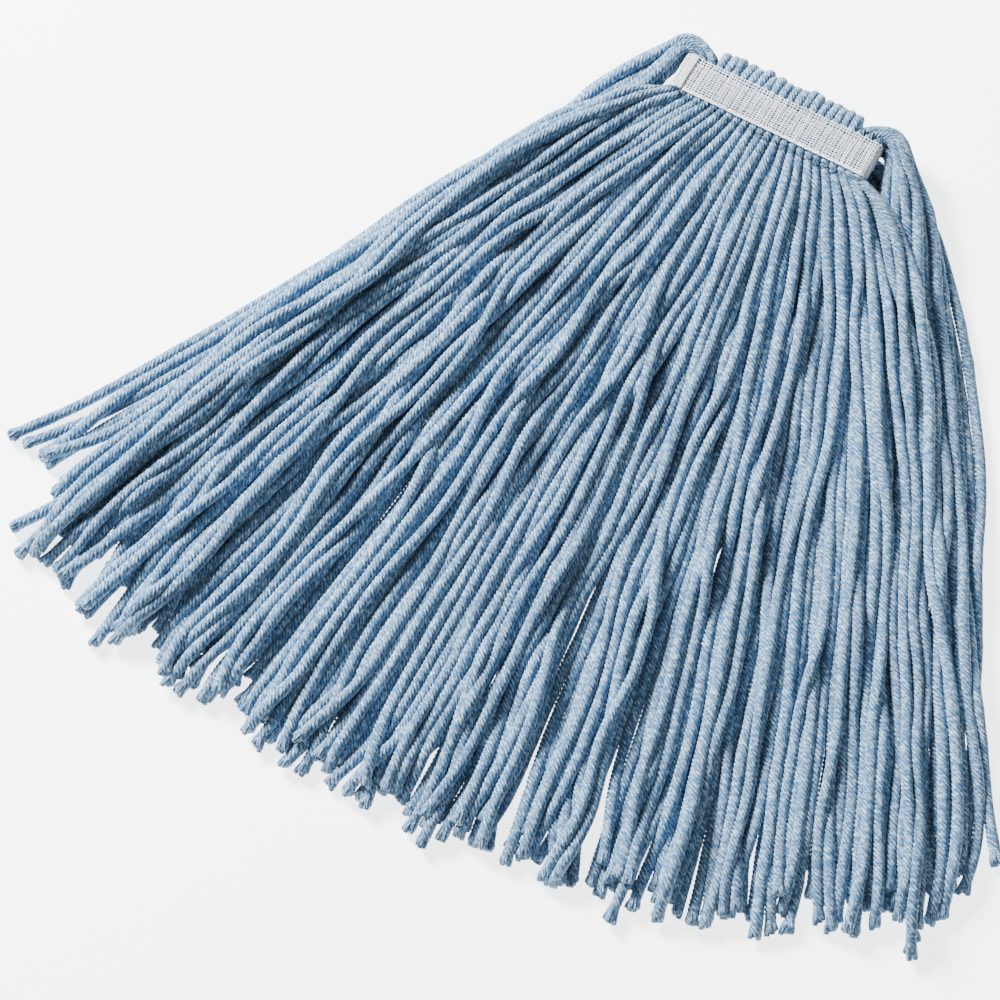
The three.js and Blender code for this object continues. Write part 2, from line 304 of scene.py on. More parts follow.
@dataclass(frozen=True)
class HeatherYarn:
    """Soft twisted yarn of blue and undyed fibres.

    The UV map runs once round the yarn, and along it in turns of the twist. The attribute "shade"
    tells one yarn from the next.
    """

    plies: int = 7
    dye: Colour = (0.072, 0.185, 0.335)
    pale: Colour = (0.470, 0.660, 0.810)
    deep: Colour = (0.016, 0.056, 0.145)
    dusk: Colour = (0.210, 0.230, 0.350)
    # painted shade: the colour laid into the grooves between the plies
    painted_groove_shade: Colour = (0.010, 0.032, 0.085)

    def material(self) -> bpy.types.Material:
        """Builds the material: mottled fibres, painted shade in the grooves between the plies, and fuzz.

        Returns:
            The material.
        """
        s = NodeSketch("heather_yarn")
        place = s.add("ShaderNodeUVMap", uv_map="yarn")
        parts = s.add("ShaderNodeSeparateXYZ")
        s.join(place.outputs["UV"], parts.inputs[0])
        across, along = parts.outputs[0], parts.outputs[1]
        shade = s.add("ShaderNodeAttribute", attribute_name="shade").outputs["Fac"]
        fibres = s.combine(across, along, s.math("MULTIPLY", shade, 37.0))
        streak = s.combine(s.math("MULTIPLY", across, 3.0), along, s.math("MULTIPLY", shade, 11.0))
        blotches = s.noise(fibres, 9.0, 5.0)
        flecks = s.noise(streak, 13.0, 2.0)
        colour = s.tint(s.band(blotches, 0.40, 0.70), self.dye, self.pale)
        colour = s.tint(s.math("MULTIPLY", s.band(flecks, 0.50, 0.66), 0.8), colour, self.deep)
        grey = s.noise(streak, 2.3, 1.0)
        colour = s.tint(s.math("MULTIPLY", s.band(grey, 0.55, 0.75), 0.35), colour, self.dusk)
        wave = s.math("COSINE", s.math("MULTIPLY", across, TURN * self.plies))
        ridge = s.math("MULTIPLY_ADD", wave, 0.5, 0.5)
        valley = s.math("POWER", s.math("SUBTRACT", 1.0, ridge), 2.0)
        # painted shade: darkens the valleys between the plies, in broken dashes
        groove_shade_mask = s.math("MULTIPLY", valley, s.band(s.noise(streak, 14.0, 1.0), 0.30, 0.60))
        colour = s.tint(s.math("MULTIPLY", groove_shade_mask, 0.85), colour, self.painted_groove_shade)
        bright = s.math("MULTIPLY_ADD", s.math("FRACT", s.math("MULTIPLY", shade, 7.0)), 0.24, 0.88)
        colour = s.tint(1.0, colour, s.combine(bright, bright, bright), "MULTIPLY")
        s.join(colour, s.shader.inputs["Base Color"])
        fuzz = s.noise(fibres, 30.0, 2.0)
        s.bump(s.math("MULTIPLY_ADD", ridge, 0.7, s.math("MULTIPLY", fuzz, 0.5)), 0.45 * MM, 0.9)
        s.matt(0.92, 0.25)
        return s.material


@dataclass(frozen=True)
class TapeCotton:
    """Bleached thread of the mesh tape and its stitching."""

    name: str
    colour: Colour = (0.80, 0.82, 0.86)
    worn: Colour = (0.62, 0.65, 0.72)

    def material(self) -> bpy.types.Material:
        """Builds the material: near white, with an uneven tone and a fibrous surface.

        Returns:
            The material.
        """
        s = NodeSketch(self.name)
        place = s.add("ShaderNodeTexCoord").outputs["Object"]
        tone = s.noise(place, 160.0, 3.0)
        colour = s.tint(s.band(tone, 0.35, 0.75), self.colour, self.worn)
        s.join(colour, s.shader.inputs["Base Color"])
        s.bump(s.noise(place, 2600.0, 2.0), 0.12 * MM, 0.7)
        s.matt(0.85, 0.15)
        return s.material


# ---- meshes -------------------------------------------------------------------------------------


@dataclass
class MeshHeap:
    """Rings and caps gathered from many tubes, which become one mesh object."""

    points: list[np.ndarray] = field(default_factory=list)
    faces: list[np.ndarray] = field(default_factory=list)
    places: list[np.ndarray] = field(default_factory=list)
    shades: list[np.ndarray] = field(default_factory=list)
    count: int = 0

    def add_tube(self, rings: np.ndarray, along: np.ndarray, shade: float, domes: tuple) -> None:
        """Adds one closed tube.

        Args:
            rings: Points as (ring, place round it, 3), turning right-handed about the tube's way.
            along: The UV map's second value at each ring.
            shade: What tells this tube's yarn from the others.
            domes: The middle points of its two end caps.
        """
        ring_count, sides, _ = rings.shape
        ring_points = ring_count * sides
        index = self.count + np.arange(ring_points).reshape(ring_count, sides)
        following = np.roll(index, -1, axis=1)
        quads = np.stack([index[:-1], following[:-1], following[1:], index[1:]], axis=-1)
        across = np.arange(sides + 1) / sides
        left = np.meshgrid(across[:-1], along[:-1])[0]
        right = np.meshgrid(across[1:], along[:-1])[0]
        low = np.repeat(along[:-1, None], sides, axis=1)
        high = np.repeat(along[1:, None], sides, axis=1)
        corners = [(left, low), (right, low), (right, high), (left, high)]
        uv = np.stack([np.stack(pair, axis=-1) for pair in corners], axis=2).reshape(-1, 4, 2)
        first, last = self.count + ring_points, self.count + ring_points + 1
        start = np.stack([following[0], index[0], np.full(sides, first)], axis=-1)
        end = np.stack([index[-1], following[-1], np.full(sides, last)], axis=-1)
        start_uv = np.stack([across[1:], across[:-1], (across[1:] + across[:-1]) / 2], axis=-1)
        end_uv = np.stack([across[:-1], across[1:], (across[1:] + across[:-1]) / 2], axis=-1)
        self.points.append(rings.reshape(-1, 3))
        self.points.append(np.asarray(domes, float).reshape(2, 3))
        self.faces += [quads.reshape(-1, 4), start, end]
        self.places.append(uv)
        for values, level in ((start_uv, along[0]), (end_uv, along[-1])):
            self.places.append(np.stack([values, np.full_like(values, level)], axis=-1))
        self.shades.append(np.full(ring_points + 2, shade))
        self.count += ring_points + 2

    def build(self, name: str, material: bpy.types.Material) -> bpy.types.Object:
        """Makes the mesh object, smooth, with its UV map and its shade attribute.

        Args:
            name: The object's name.
            material: Its finish.

        Returns:
            The new object, at the origin.
        """
        mesh = bpy.data.meshes.new(name)
        points = np.concatenate(self.points)
        sizes = np.concatenate([np.full(len(faces), faces.shape[1]) for faces in self.faces])
        loops = np.concatenate([faces.ravel() for faces in self.faces])
        mesh.vertices.add(len(points))
        mesh.vertices.foreach_set("co", points.astype(np.float32).ravel())
        mesh.loops.add(len(loops))
        mesh.loops.foreach_set("vertex_index", loops.astype(np.int32))
        mesh.polygons.add(len(sizes))
        starts = np.concatenate([[0], np.cumsum(sizes)[:-1]])
        mesh.polygons.foreach_set("loop_start", starts.astype(np.int32))
        mesh.polygons.foreach_set("use_smooth", np.ones(len(sizes), bool))
        uv = mesh.uv_layers.new(name="yarn")
        places = np.concatenate([place.reshape(-1) for place in self.places])
        uv.data.foreach_set("uv", places.astype(np.float32))
        shade = mesh.attributes.new("shade", "FLOAT", "POINT")
        shade.data.foreach_set("value", np.concatenate(self.shades).astype(np.float32))
        mesh.update(calc_edges=True)
        mesh.validate()
        mesh.materials.append(material)
        piece = bpy.data.objects.new(name, mesh)
        bpy.context.scene.collection.objects.link(piece)
        return piece


def directions(plan: np.ndarray) -> tuple[np.ndarray, np.ndarray]:
    """Unit directions along a line in plan and across it, towards its left.

    Args:
        plan: The line's points in plan.

    Returns:
        The direction along it and the one across it, at each point.
    """
    way = np.gradient(plan, axis=0)
    way /= np.linalg.norm(way, axis=1, keepdims=True)
    return way, np.stack([-way[:, 1], way[:, 0]], axis=1)


def tube_rings(
    line: np.ndarray,
    side: np.ndarray,
    half_width: np.ndarray,
    half_height: np.ndarray,
    angles: np.ndarray,
    swell: np.ndarray,
) -> np.ndarray:
    """Sets a ring of points round each point of a line.

    Args:
        line: Centreline.
        side: A direction across the line at each point, along which half_width lies.
        half_width: Half of the section's width at each point.
        half_height: Half of its height at each point.
        angles: Angle of each ring point, as (ring, place) or one row for all.
        swell: Factor on the radius, of the same shape as angles.

    Returns:
        The points, as (ring, place, 3).
    """
    way = np.gradient(line, axis=0)
    way /= np.linalg.norm(way, axis=1, keepdims=True)
    across = side - (side * way).sum(axis=1, keepdims=True) * way
    across /= np.linalg.norm(across, axis=1, keepdims=True)
    up = np.cross(across, way)
    angles = np.broadcast_to(angles, (len(line), np.shape(angles)[-1]))
    cos = (np.cos(angles) * swell * half_width[:, None])[..., None]
    sin = (np.sin(angles) * swell * half_height[:, None])[..., None]
    return line[:, None, :] + cos * across[:, None, :] - sin * up[:, None, :]


# ---- the pile that the yarns are laid on --------------------------------------------------------


class Pile:
    """The upper surface of everything laid down so far, as heights on a square grid."""

    def __init__(self, low: np.ndarray, high: np.ndarray, cell: float, floor: float) -> None:
        """Starts with a bare floor.

        Args:
            low: Lowest corner in plan.
            high: Highest corner in plan.
            cell: Size of a grid square.
            floor: Height of the floor.
        """
        self.low, self.cell = low, cell
        self.size = np.ceil((high - low) / cell).astype(int) + 2
        self.top = np.full(self.size, floor)

    def heights(self, plan: np.ndarray) -> np.ndarray:
        """Reads the surface between the grid's points.

        Args:
            plan: Places in plan.

        Returns:
            The height at each place.
        """
        at = np.clip((plan - self.low) / self.cell, 0, self.size - 2.001)
        base = at.astype(int)
        part = at - base
        i, j = base[..., 0], base[..., 1]
        u, v = part[..., 0], part[..., 1]
        near = self.top[i, j] * (1 - u) + self.top[i + 1, j] * u
        far = self.top[i, j + 1] * (1 - u) + self.top[i + 1, j + 1] * u
        return near * (1 - v) + far * v

    def support(self, plan: np.ndarray, across: np.ndarray, half_width: np.ndarray,
                half_height: np.ndarray) -> np.ndarray:
        """How high the middle of a yarn has to be to lie on the pile.

        Args:
            plan: The yarn's line in plan.
            across: Its direction across, in plan.
            half_width: Half of its width at each point.
            half_height: Half of its height at each point.

        Returns:
            The height needed at each point.
        """
        offsets = np.linspace(-0.95, 0.95, 9)
        spots = plan[:, None, :] + (offsets * half_width[:, None])[..., None] * across[:, None, :]
        rise = half_height[:, None] * np.sqrt(1 - offsets ** 2)
        return (self.heights(spots) + rise).max(axis=1)

    def stamp(self, line: np.ndarray, half_width: np.ndarray, half_height: np.ndarray) -> None:
        """Adds a yarn to the pile.

        Args:
            line: Its centreline.
            half_width: Half of its width at each point.
            half_height: Half of its height at each point.
        """
        columns = np.column_stack([line, half_width, half_height])
        fine = respaced(columns, line, self.cell)
        reach = int(math.ceil(half_width.max() / self.cell))
        shift = np.arange(-reach, reach + 1)
        di, dj = np.meshgrid(shift, shift, indexing="ij")
        cells = np.round((fine[:, :2] - self.low) / self.cell).astype(int)
        i = np.clip(cells[:, 0, None] + di.ravel(), 0, self.size[0] - 1)
        j = np.clip(cells[:, 1, None] + dj.ravel(), 0, self.size[1] - 1)
        spot = self.low + np.stack([i, j], axis=-1) * self.cell
        away = np.linalg.norm(spot - fine[:, None, :2], axis=-1) / fine[:, 3, None]
        height = fine[:, 2, None] + fine[:, 4, None] * np.sqrt(np.clip(1 - away ** 2, 0, None))
        inside = away < 1
        np.maximum.at(self.top, (i[inside], j[inside]), height[inside])


# ---- the yarns ----------------------------------------------------------------------------------


class Reach(Enum):
    """A stretch of a yarn, counted from its front tip."""

    FRONT = "front"
    SEWN = "sewn"
    REAR = "rear"


class Way(Enum):
    """Where a yarn's rear tail goes when it leaves the headband."""

    UNDER = "under"
    LEFT_CORNER = "left_corner"
    RIGHT_CORNER = "right_corner"


@dataclass(frozen=True)
class Fan:
    """How the headings of a layer of tails open: degrees from -Y at the fan's two sides."""

    at_band: float
    at_tip: float
    lean: float
    relax: float
    splay: Pair = (0.0, 0.0)

    def plan_of(self, start: np.ndarray, at_band: float, at_tip: float) -> PlanOf:
        """A tail's line in plan.

        Args:
            start: Where it leaves.
            at_band: Its heading there.
            at_tip: The heading that it eases over to.

        Returns:
            Gives the line's points for distances from its start.
        """
        first, last = heading(at_band), heading(at_tip)

        def points(along: np.ndarray) -> np.ndarray:
            """The line's points at distances along it."""
            eased = self.relax * (1 - np.exp(-along / self.relax))
            return start + along[:, None] * last + eased[:, None] * (first - last)

        return points

    def headings(self, share: float, tip_share: float) -> Pair:
        """Headings at the band and at the tip for a tail's two places in the fan."""
        at_band = share * self.at_band + share ** 3 * self.splay[int(share > 0)]
        return at_band, tip_share * self.at_tip + self.lean


@dataclass(frozen=True)
class Corner:
    """A bundle of rear tails that passes round one end of the headband."""

    side: int
    room: float
    at_band: Pair
    at_tip: Pair
    relax: float
    pinch: float = 0.62
    turn: float = math.radians(154)

    @property
    def fan(self) -> Fan:
        """The fan that its tails open in."""
        return Fan(0, 0, 0, self.relax)


@dataclass(frozen=True)
class Band:
    """The sewn pack of yarns inside the headband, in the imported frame's place and size."""

    half_length: float
    depth: float = 25 * MM
    columns: int = 25
    corner_columns: int = 4
    rows: int = 4
    thickness: float = 13 * MM
    tilt: float = math.radians(6)
    middle: float = 19.6 * MM
    under_thickness: float = 11.5 * MM
    fold_thickness: float = 9 * MM
    fold_reach: float = 11.8 * MM

    @property
    def pitch(self) -> float:
        """Distance between two yarns of a row."""
        return 2 * self.half_length / self.columns

    @property
    def half_under(self) -> float:
        """Half of the width whose rear tails turn under."""
        return self.half_length - self.corner_columns * self.pitch

    def level(self, row: int) -> float:
        """A row's place in the pack's thickness, from -0.5 at the bottom to 0.5 at the top."""
        return (row + 0.5) / self.rows - 0.5

    def height(self, y: np.ndarray, row: int) -> np.ndarray:
        """Height of a row at places along Y, in the band as it leans back."""
        lean = (self.depth - y) * math.tan(self.tilt)
        return self.middle + lean + self.level(row) * self.thickness


@dataclass
class Yarn:
    """One yarn from tip to tip, with its section at each point of its line."""

    x: float
    row: int
    way: Way
    number: int
    line: np.ndarray | None = None
    half_width: np.ndarray | None = None
    half_height: np.ndarray | None = None
    front_end: float = 0.0
    rear_start: float = 0.0

    @property
    def name(self) -> str:
        """A name that tells its place in the band."""
        return f"{self.number:02d}"


@dataclass
class Tail:
    """A stretch of yarn that lies free, from the band to its tip."""

    plan: np.ndarray
    start_heights: np.ndarray
    half_width: np.ndarray
    half_height: np.ndarray
    line: np.ndarray | None = None


@dataclass
class YarnBundle:
    """All the yarns of the mop: their sizes, and how they are laid."""

    band: Band
    diameter: float = 6 * MM
    pinched_width: float = 2.45 * MM
    pinched_height: float = 1.8 * MM
    lowest: float = 2.3 * MM
    step: float = 4 * MM
    mesh_step: float = 2.2 * MM
    front_tail: float = 454 * MM
    rear_tail: float = 476 * MM
    corner_tail: float = 446 * MM
    slant: float = -5 * MM
    bow: float = 7 * MM
    unevenness: float = 11 * MM
    wander: float = 2.8 * MM
    most_slide: float = 6.5 * MM
    sag: float = 0.10 * MM
    packing: float = 0.88
    front_fan: Fan = Fan(48, 23.5, 3, 80 * MM, (8, 21))
    under_fan: Fan = Fan(50, 23, 3, 85 * MM, (-4, 38))
    left: Corner = Corner(-1, 1.2 * MM, (24, 24), (19, 28.5), 80 * MM)
    right: Corner = Corner(1, 2.2 * MM, (24, 45), (20.5, 27.8), 115 * MM)
    tufts: float = 5.5
    tuft_pull: float = 0.009
    order_mixing: float = 0.55
    tip_jitter: float = 0.4
    waves: Pair = (0.56, 0.31)
    curl: float = 3.0 * MM
    most_curl: float = 9 * MM
    slide_passes: int = 70
    sag_passes: int = 160
    seed: int = 11
    yarns: list[Yarn] = field(default_factory=list)

    def __post_init__(self) -> None:
        """Starts the pile and the random draws."""
        low, high = cad_box
        margin = 30 * MM
        floor = self.radius * (1.14 - self.packing)
        self.pile = Pile(np.array(low[:2]) - margin, np.array(high[:2]) + margin, 0.8 * MM, floor)
        self.draw = np.random.default_rng(self.seed)

    @property
    def radius(self) -> float:
        """Half of the yarn's diameter."""
        return self.diameter / 2

    def slots(self) -> list[Yarn]:
        """Gives every yarn its place: whole rows and, between them, rows shifted by half a pitch.

        Returns:
            The yarns, not laid yet.
        """
        band = self.band
        found = []
        for row in range(band.rows):
            count = band.columns - row % 2
            for column in range(count):
                x = (column - (count - 1) / 2) * band.pitch
                inside = band.half_length - abs(x)
                way = Way.LEFT_CORNER if x < 0 else Way.RIGHT_CORNER
                if inside >= band.corner_columns * band.pitch - MM / 10:
                    way = Way.UNDER
                found.append(Yarn(x, row, way, len(found) + 1))
        return found

    def ordered_shares(self, yarns: list[Yarn], low: float, high: float,
                       tufted: bool = False) -> dict[int, float]:
        """Spreads the tips evenly over a fan, near the order that the yarns have in the band.

        Args:
            yarns: The yarns of one layer.
            low: Share of the fan at its first side.
            high: Share at its other side.
            tufted: Whether the tips gather into loose tufts.

        Returns:
            The tip's share for each yarn's number.
        """
        spread = self.order_mixing * self.band.pitch
        ranked = sorted(yarns, key=lambda yarn: yarn.x + self.draw.normal(0, 1) * spread)
        shares = np.linspace(low, high, len(ranked))
        if tufted:
            shares += self.tuft_pull * np.sin(TURN * self.tufts * shares + 1.0)
        shares += self.draw.normal(0, self.tip_jitter, len(ranked)) * (high - low) / len(ranked)
        return {yarn.number: share for yarn, share in zip(ranked, shares)}

    def wandering(self, along: np.ndarray, length: float) -> np.ndarray:
        """A slow sideways drift for one tail, with a curl at its tip.

        Args:
            along: Distances from the band.
            length: The tail's length.

        Returns:
            How far it drifts at each distance.
        """
        total = np.zeros_like(along)
        for wave in self.waves:
            total += np.sin(TURN * along / wave + self.draw.uniform(0, TURN)) * wave / 0.5
        curl = self.draw.normal(0, 1) ** 3 * self.curl
        tip = np.clip(curl, -self.most_curl, self.most_curl) * ease(along, length - 60 * MM, length) ** 2
        return self.wander * ease(along, 0, 200 * MM) * total + tip

    def section(self, along: np.ndarray, low: float, high: float) -> tuple[np.ndarray, np.ndarray]:
        """Half width and half height of a tail that swells from pinched to round.

        Args:
            along: Distances along it.
            low: Where it starts to swell.
            high: Where it is round.

        Returns:
            Both halves at each distance.
        """
        share = ease(along, low, high)
        half_width = mix(self.pinched_width, self.radius, share)
        return half_width, mix(self.pinched_height, self.radius, share)

    def tail(self, plan_of: PlanOf, length: float, start_heights: np.ndarray, swell: Pair) -> Tail:
        """Draws a tail's guide line, before it is laid.

        Args:
            plan_of: Gives the plan's points for distances along the tail.
            length: Its length, before the cut's unevenness.
            start_heights: Heights of its first points, which are held.
            swell: Where it starts and ends to swell to its round section.

        Returns:
            The tail.
        """
        cut = self.draw.uniform(-1, 0.5)
        if self.draw.uniform() < 0.2:
            cut += self.draw.uniform(-1.6, 1.5)
        length = length + cut * self.unevenness
        count = int(round(length / self.step)) + 1
        along = np.linspace(0, length, count)
        plan = plan_of(along)
        across = directions(plan)[1]
        plan = plan + self.wandering(along, length)[:, None] * across
        half_width, half_height = self.section(along, *swell)
        return Tail(plan, start_heights, half_width, half_height)

    def lay(self, tail: Tail, slides: int = 14) -> None:
        """Lays a tail on the pile: it slides into the valleys, sags onto them and joins the pile.

        Args:
            tail: The tail, whose line is set here.
            slides: How many times it is let slide sideways.
        """
        plan, guide = tail.plan.copy(), tail.plan
        held = len(tail.start_heights)
        width, height = tail.half_width * self.packing, tail.half_height * self.packing
        along = arc_length(plan)
        free = ease(along, along[held - 1], along[held - 1] + 40 * MM)
        probe = 0.8 * MM
        for _ in range(slides):
            across = directions(plan)[1]
            right = self.pile.support(plan + probe * across, across, width, height)
            left = self.pile.support(plan - probe * across, across, width, height)
            slide = np.clip((left - right) / (2 * probe), -1, 1) * 1.2 * MM
            slide = softened(slide[:, None], self.slide_passes)[:, 0]
            moved = ((plan - guide) * across).sum(axis=1) * 0.96 + slide * free
            moved = np.clip(moved, -self.most_slide, self.most_slide)
            plan = guide + moved[:, None] * across
            plan = softened(plan, 3)
        needed = self.pile.support(plan, directions(plan)[1], width, height)
        tail.line = np.column_stack([plan, self.sagged(needed, tail.start_heights, along)])
        self.pile.stamp(tail.line, width, height)

    def sagged(self, needed: np.ndarray, start: np.ndarray, along: np.ndarray) -> np.ndarray:
        """The height of a limp yarn that is held at its start and lies on what is below it.

        Args:
            needed: Lowest height that the pile allows at each point.
            start: Heights of the first points, which don't move.
            along: Distance of each point along the yarn.

        Returns:
            The height at each point.
        """
        held = len(start)
        grip = ease(along, along[held - 1], along[held - 1] + 24 * MM)
        floor = mix(np.minimum(needed, start[-1]), needed, grip)
        line = floor.copy()
        line[:held] = start
        for _ in range(self.sag_passes):
            middle = (line[:-2] + line[2:]) / 2 - self.sag
            line[1:-1] = np.maximum(middle, floor[1:-1])
            line[:held] = start
        rounded = softened(line[:, None], 3)[:, 0]
        rounded[:held] = start
        return rounded

    def under_plan(self, yarn: Yarn, tip_share: float) -> PlanOf:
        """Gives the plan of a rear tail that runs back under the band.

        Args:
            yarn: Its yarn.
            tip_share: The tip's place in the fan.

        Returns:
            Gives the plan's points for distances along the tail.
        """
        start = np.array([yarn.x, self.band.depth])
        headings = self.under_fan.headings(yarn.x / self.band.half_under, tip_share)
        return self.under_fan.plan_of(start, *headings)

    def front_plan(self, yarn: Yarn, tip_share: float) -> PlanOf:
        """Gives the plan of a front tail.

        Args:
            yarn: Its yarn.
            tip_share: The tip's place in the fan.

        Returns:
            Gives the plan's points for distances along the tail.
        """
        start = np.array([yarn.x, 0.0])
        headings = self.front_fan.headings(yarn.x / self.band.half_length, tip_share)
        return self.front_fan.plan_of(start, *headings)

    def corner_arc(self, corner: Corner, yarn: Yarn, count: int) -> np.ndarray:
        """A corner yarn's plan from the tape's rear edge round to where it runs forward.

        Args:
            corner: The corner.
            yarn: The yarn.
            count: How many points to give.

        Returns:
            The points in plan.
        """
        inside = self.band.half_length - abs(yarn.x)
        centre = np.array([corner.side * (self.band.half_length + corner.room), self.band.depth])
        angle = np.linspace(0, corner.turn, count)
        radius = corner.room + inside * mix(1, corner.pinch, ease(angle, 0, 0.9))
        outward = np.stack([-corner.side * np.cos(angle), np.sin(angle)], axis=1)
        return centre + radius[:, None] * outward

    def corner_plan(self, corner: Corner, yarn: Yarn, depth: float) -> PlanOf:
        """Gives the plan of a corner yarn's free tail, from where its arc ends.

        Args:
            corner: The corner.
            yarn: The yarn.
            depth: The tail's place in the corner's fan, from 0 at its inner side to 1.

        Returns:
            Gives the plan's points for distances along the tail.
        """
        start = self.corner_arc(corner, yarn, 2)[-1]
        at_tip = corner.side * mix(corner.at_tip[0], corner.at_tip[1], depth)
        at_band = corner.side * mix(corner.at_band[0], corner.at_band[1], depth)
        return corner.fan.plan_of(start, at_band, at_tip)

    def fold(self, yarn: Yarn) -> np.ndarray:
        """A yarn's line from the tape's rear edge, round the fold and back to below that edge.

        Args:
            yarn: The yarn.

        Returns:
            The line's points.
        """
        band = self.band
        inward = -band.level(yarn.row)
        top, bottom = float(band.height(band.depth, yarn.row)), self.under_height(yarn.row)
        turned = np.linspace(-math.pi / 2, math.pi / 2, 15)
        behind, below = np.cos(turned), np.sin(turned)
        reach = band.fold_reach - inward * band.fold_thickness + self.draw.normal(0, 0.95) * MM
        bulge = self.draw.uniform(-1.9, 1.9) * MM
        x = yarn.x + bulge * behind
        y = band.depth + reach * behind
        z = mix(top, bottom, (below + 1) / 2)
        return np.column_stack([x, y, z])

    def under_height(self, row: int) -> float:
        """Height of a row's yarns where they run under the band, upside down from the pack.

        Args:
            row: The row.

        Returns:
            The height of their middles.
        """
        band = self.band
        above = band.level(band.rows - 1) - band.level(row)
        return self.lowest + above * band.under_thickness * 0.9

    def lay_all(self) -> None:
        """Lays the rear tails under the band, those round its corners and the front tails."""
        band = self.band
        self.yarns = self.slots()
        under = [yarn for yarn in self.yarns if yarn.way is Way.UNDER]
        corners = {
            Way.LEFT_CORNER: self.left,
            Way.RIGHT_CORNER: self.right,
        }
        rear, front = {}, {}
        tip_shares = self.ordered_shares(under, -1, 1)
        for yarn in self.by_layer(under, top_first=True):
            held = np.full(int(round(band.depth / self.step)) + 1, self.under_height(yarn.row))
            plan_of = self.under_plan(yarn, tip_shares[yarn.number])
            rear[yarn.number] = self.tail(plan_of, self.rear_tail, held, (25 * MM, 60 * MM))
            self.lay(rear[yarn.number])
        for way, corner in corners.items():
            group = [yarn for yarn in self.yarns if yarn.way is way]
            depths = self.ordered_shares(group, *((1, 0) if corner.side > 0 else (0, 1)))
            for yarn in self.by_layer(group):
                height = np.array([self.corner_height(yarn.row)])
                plan_of = self.corner_plan(corner, yarn, depths[yarn.number])
                rear[yarn.number] = self.tail(plan_of, self.corner_tail, height, (2 * MM, 40 * MM))
                self.lay(rear[yarn.number])
        tip_shares = self.ordered_shares(self.yarns, -1, 1, tufted=True)
        for yarn in self.by_layer(self.yarns):
            height = np.array([float(self.band.height(0.0, yarn.row))])
            plan_of = self.front_plan(yarn, tip_shares[yarn.number])
            share = yarn.x / band.half_length
            length = self.front_tail + self.slant * share + self.bow * share ** 2
            front[yarn.number] = self.tail(plan_of, length, height, (2 * MM, 35 * MM))
            self.lay(front[yarn.number])
        for yarn in self.yarns:
            self.thread(yarn, front[yarn.number], rear[yarn.number], corners.get(yarn.way))

    def corner_height(self, row: int) -> float:
        """Height of a row's yarns where they have come round a corner."""
        return 18 * MM + self.band.level(row) * 19 * MM

    def by_layer(self, yarns: list[Yarn], top_first: bool = False) -> list[Yarn]:
        """Sets yarns in the order to lay them, mixed within each layer.

        Args:
            yarns: The yarns.
            top_first: Whether the top row comes first, as where the pack lies upside down.

        Returns:
            The yarns in order.
        """
        keys = {yarn.number: self.draw.uniform() for yarn in yarns}
        sign = -1 if top_first else 1
        return sorted(yarns, key=lambda yarn: (sign * yarn.row, keys[yarn.number]))

    def thread(self, yarn: Yarn, front: Tail, rear: Tail, corner: Corner | None) -> None:
        """Joins a yarn's front tail, its sewn middle and its rear tail into one line.

        Args:
            yarn: The yarn, which gets its line and section.
            front: Its front tail, as laid.
            rear: Its rear tail, as laid.
            corner: The corner that it passes round, or None where it turns under.
        """
        band = self.band
        y = np.linspace(0, band.depth, 8)
        inside = np.column_stack([np.full(8, yarn.x), y, band.height(y, yarn.row)])
        if corner is None:
            turn = self.fold(yarn)
            behind = np.sin(np.linspace(0, math.pi, len(turn)))
            outer = yarn.row == band.rows - 1
            half_height = self.pinched_height + behind * (0.8 * MM if outer else 0.1 * MM)
            half_width = self.pinched_width + behind * self.draw.uniform(0.2, 0.7) * MM
        else:
            plan = self.corner_arc(corner, yarn, 24)
            share = np.linspace(0, 1, len(plan))
            top = float(band.height(band.depth, yarn.row))
            height = mix(top, rear.line[0, 2], ease(share, 0, 0.7))
            turn = np.column_stack([plan, height])
            half_width = np.full(len(plan), self.pinched_width)
            half_height = mix(self.pinched_height, 2.3 * MM, ease(share, 0, 0.4))
        pinched = np.full(8, self.pinched_width), np.full(8, self.pinched_height)
        line = np.concatenate([front.line[:0:-1], inside, turn[1:], rear.line[1:]])
        widths = [front.half_width[:0:-1], pinched[0], half_width[1:], rear.half_width[1:]]
        heights = [front.half_height[:0:-1], pinched[1], half_height[1:], rear.half_height[1:]]
        sections = [np.concatenate(widths), np.concatenate(heights)]
        table = respaced(np.column_stack([line, *sections]), line, self.mesh_step)
        table[:, :3] = softened(table[:, :3], 6)
        yarn.line, yarn.half_width, yarn.half_height = table[:, :3], table[:, 3], table[:, 4]
        yarn.front_end = arc_length(front.line)[-1]
        yarn.rear_start = yarn.front_end + band.depth + arc_length(turn)[-1]


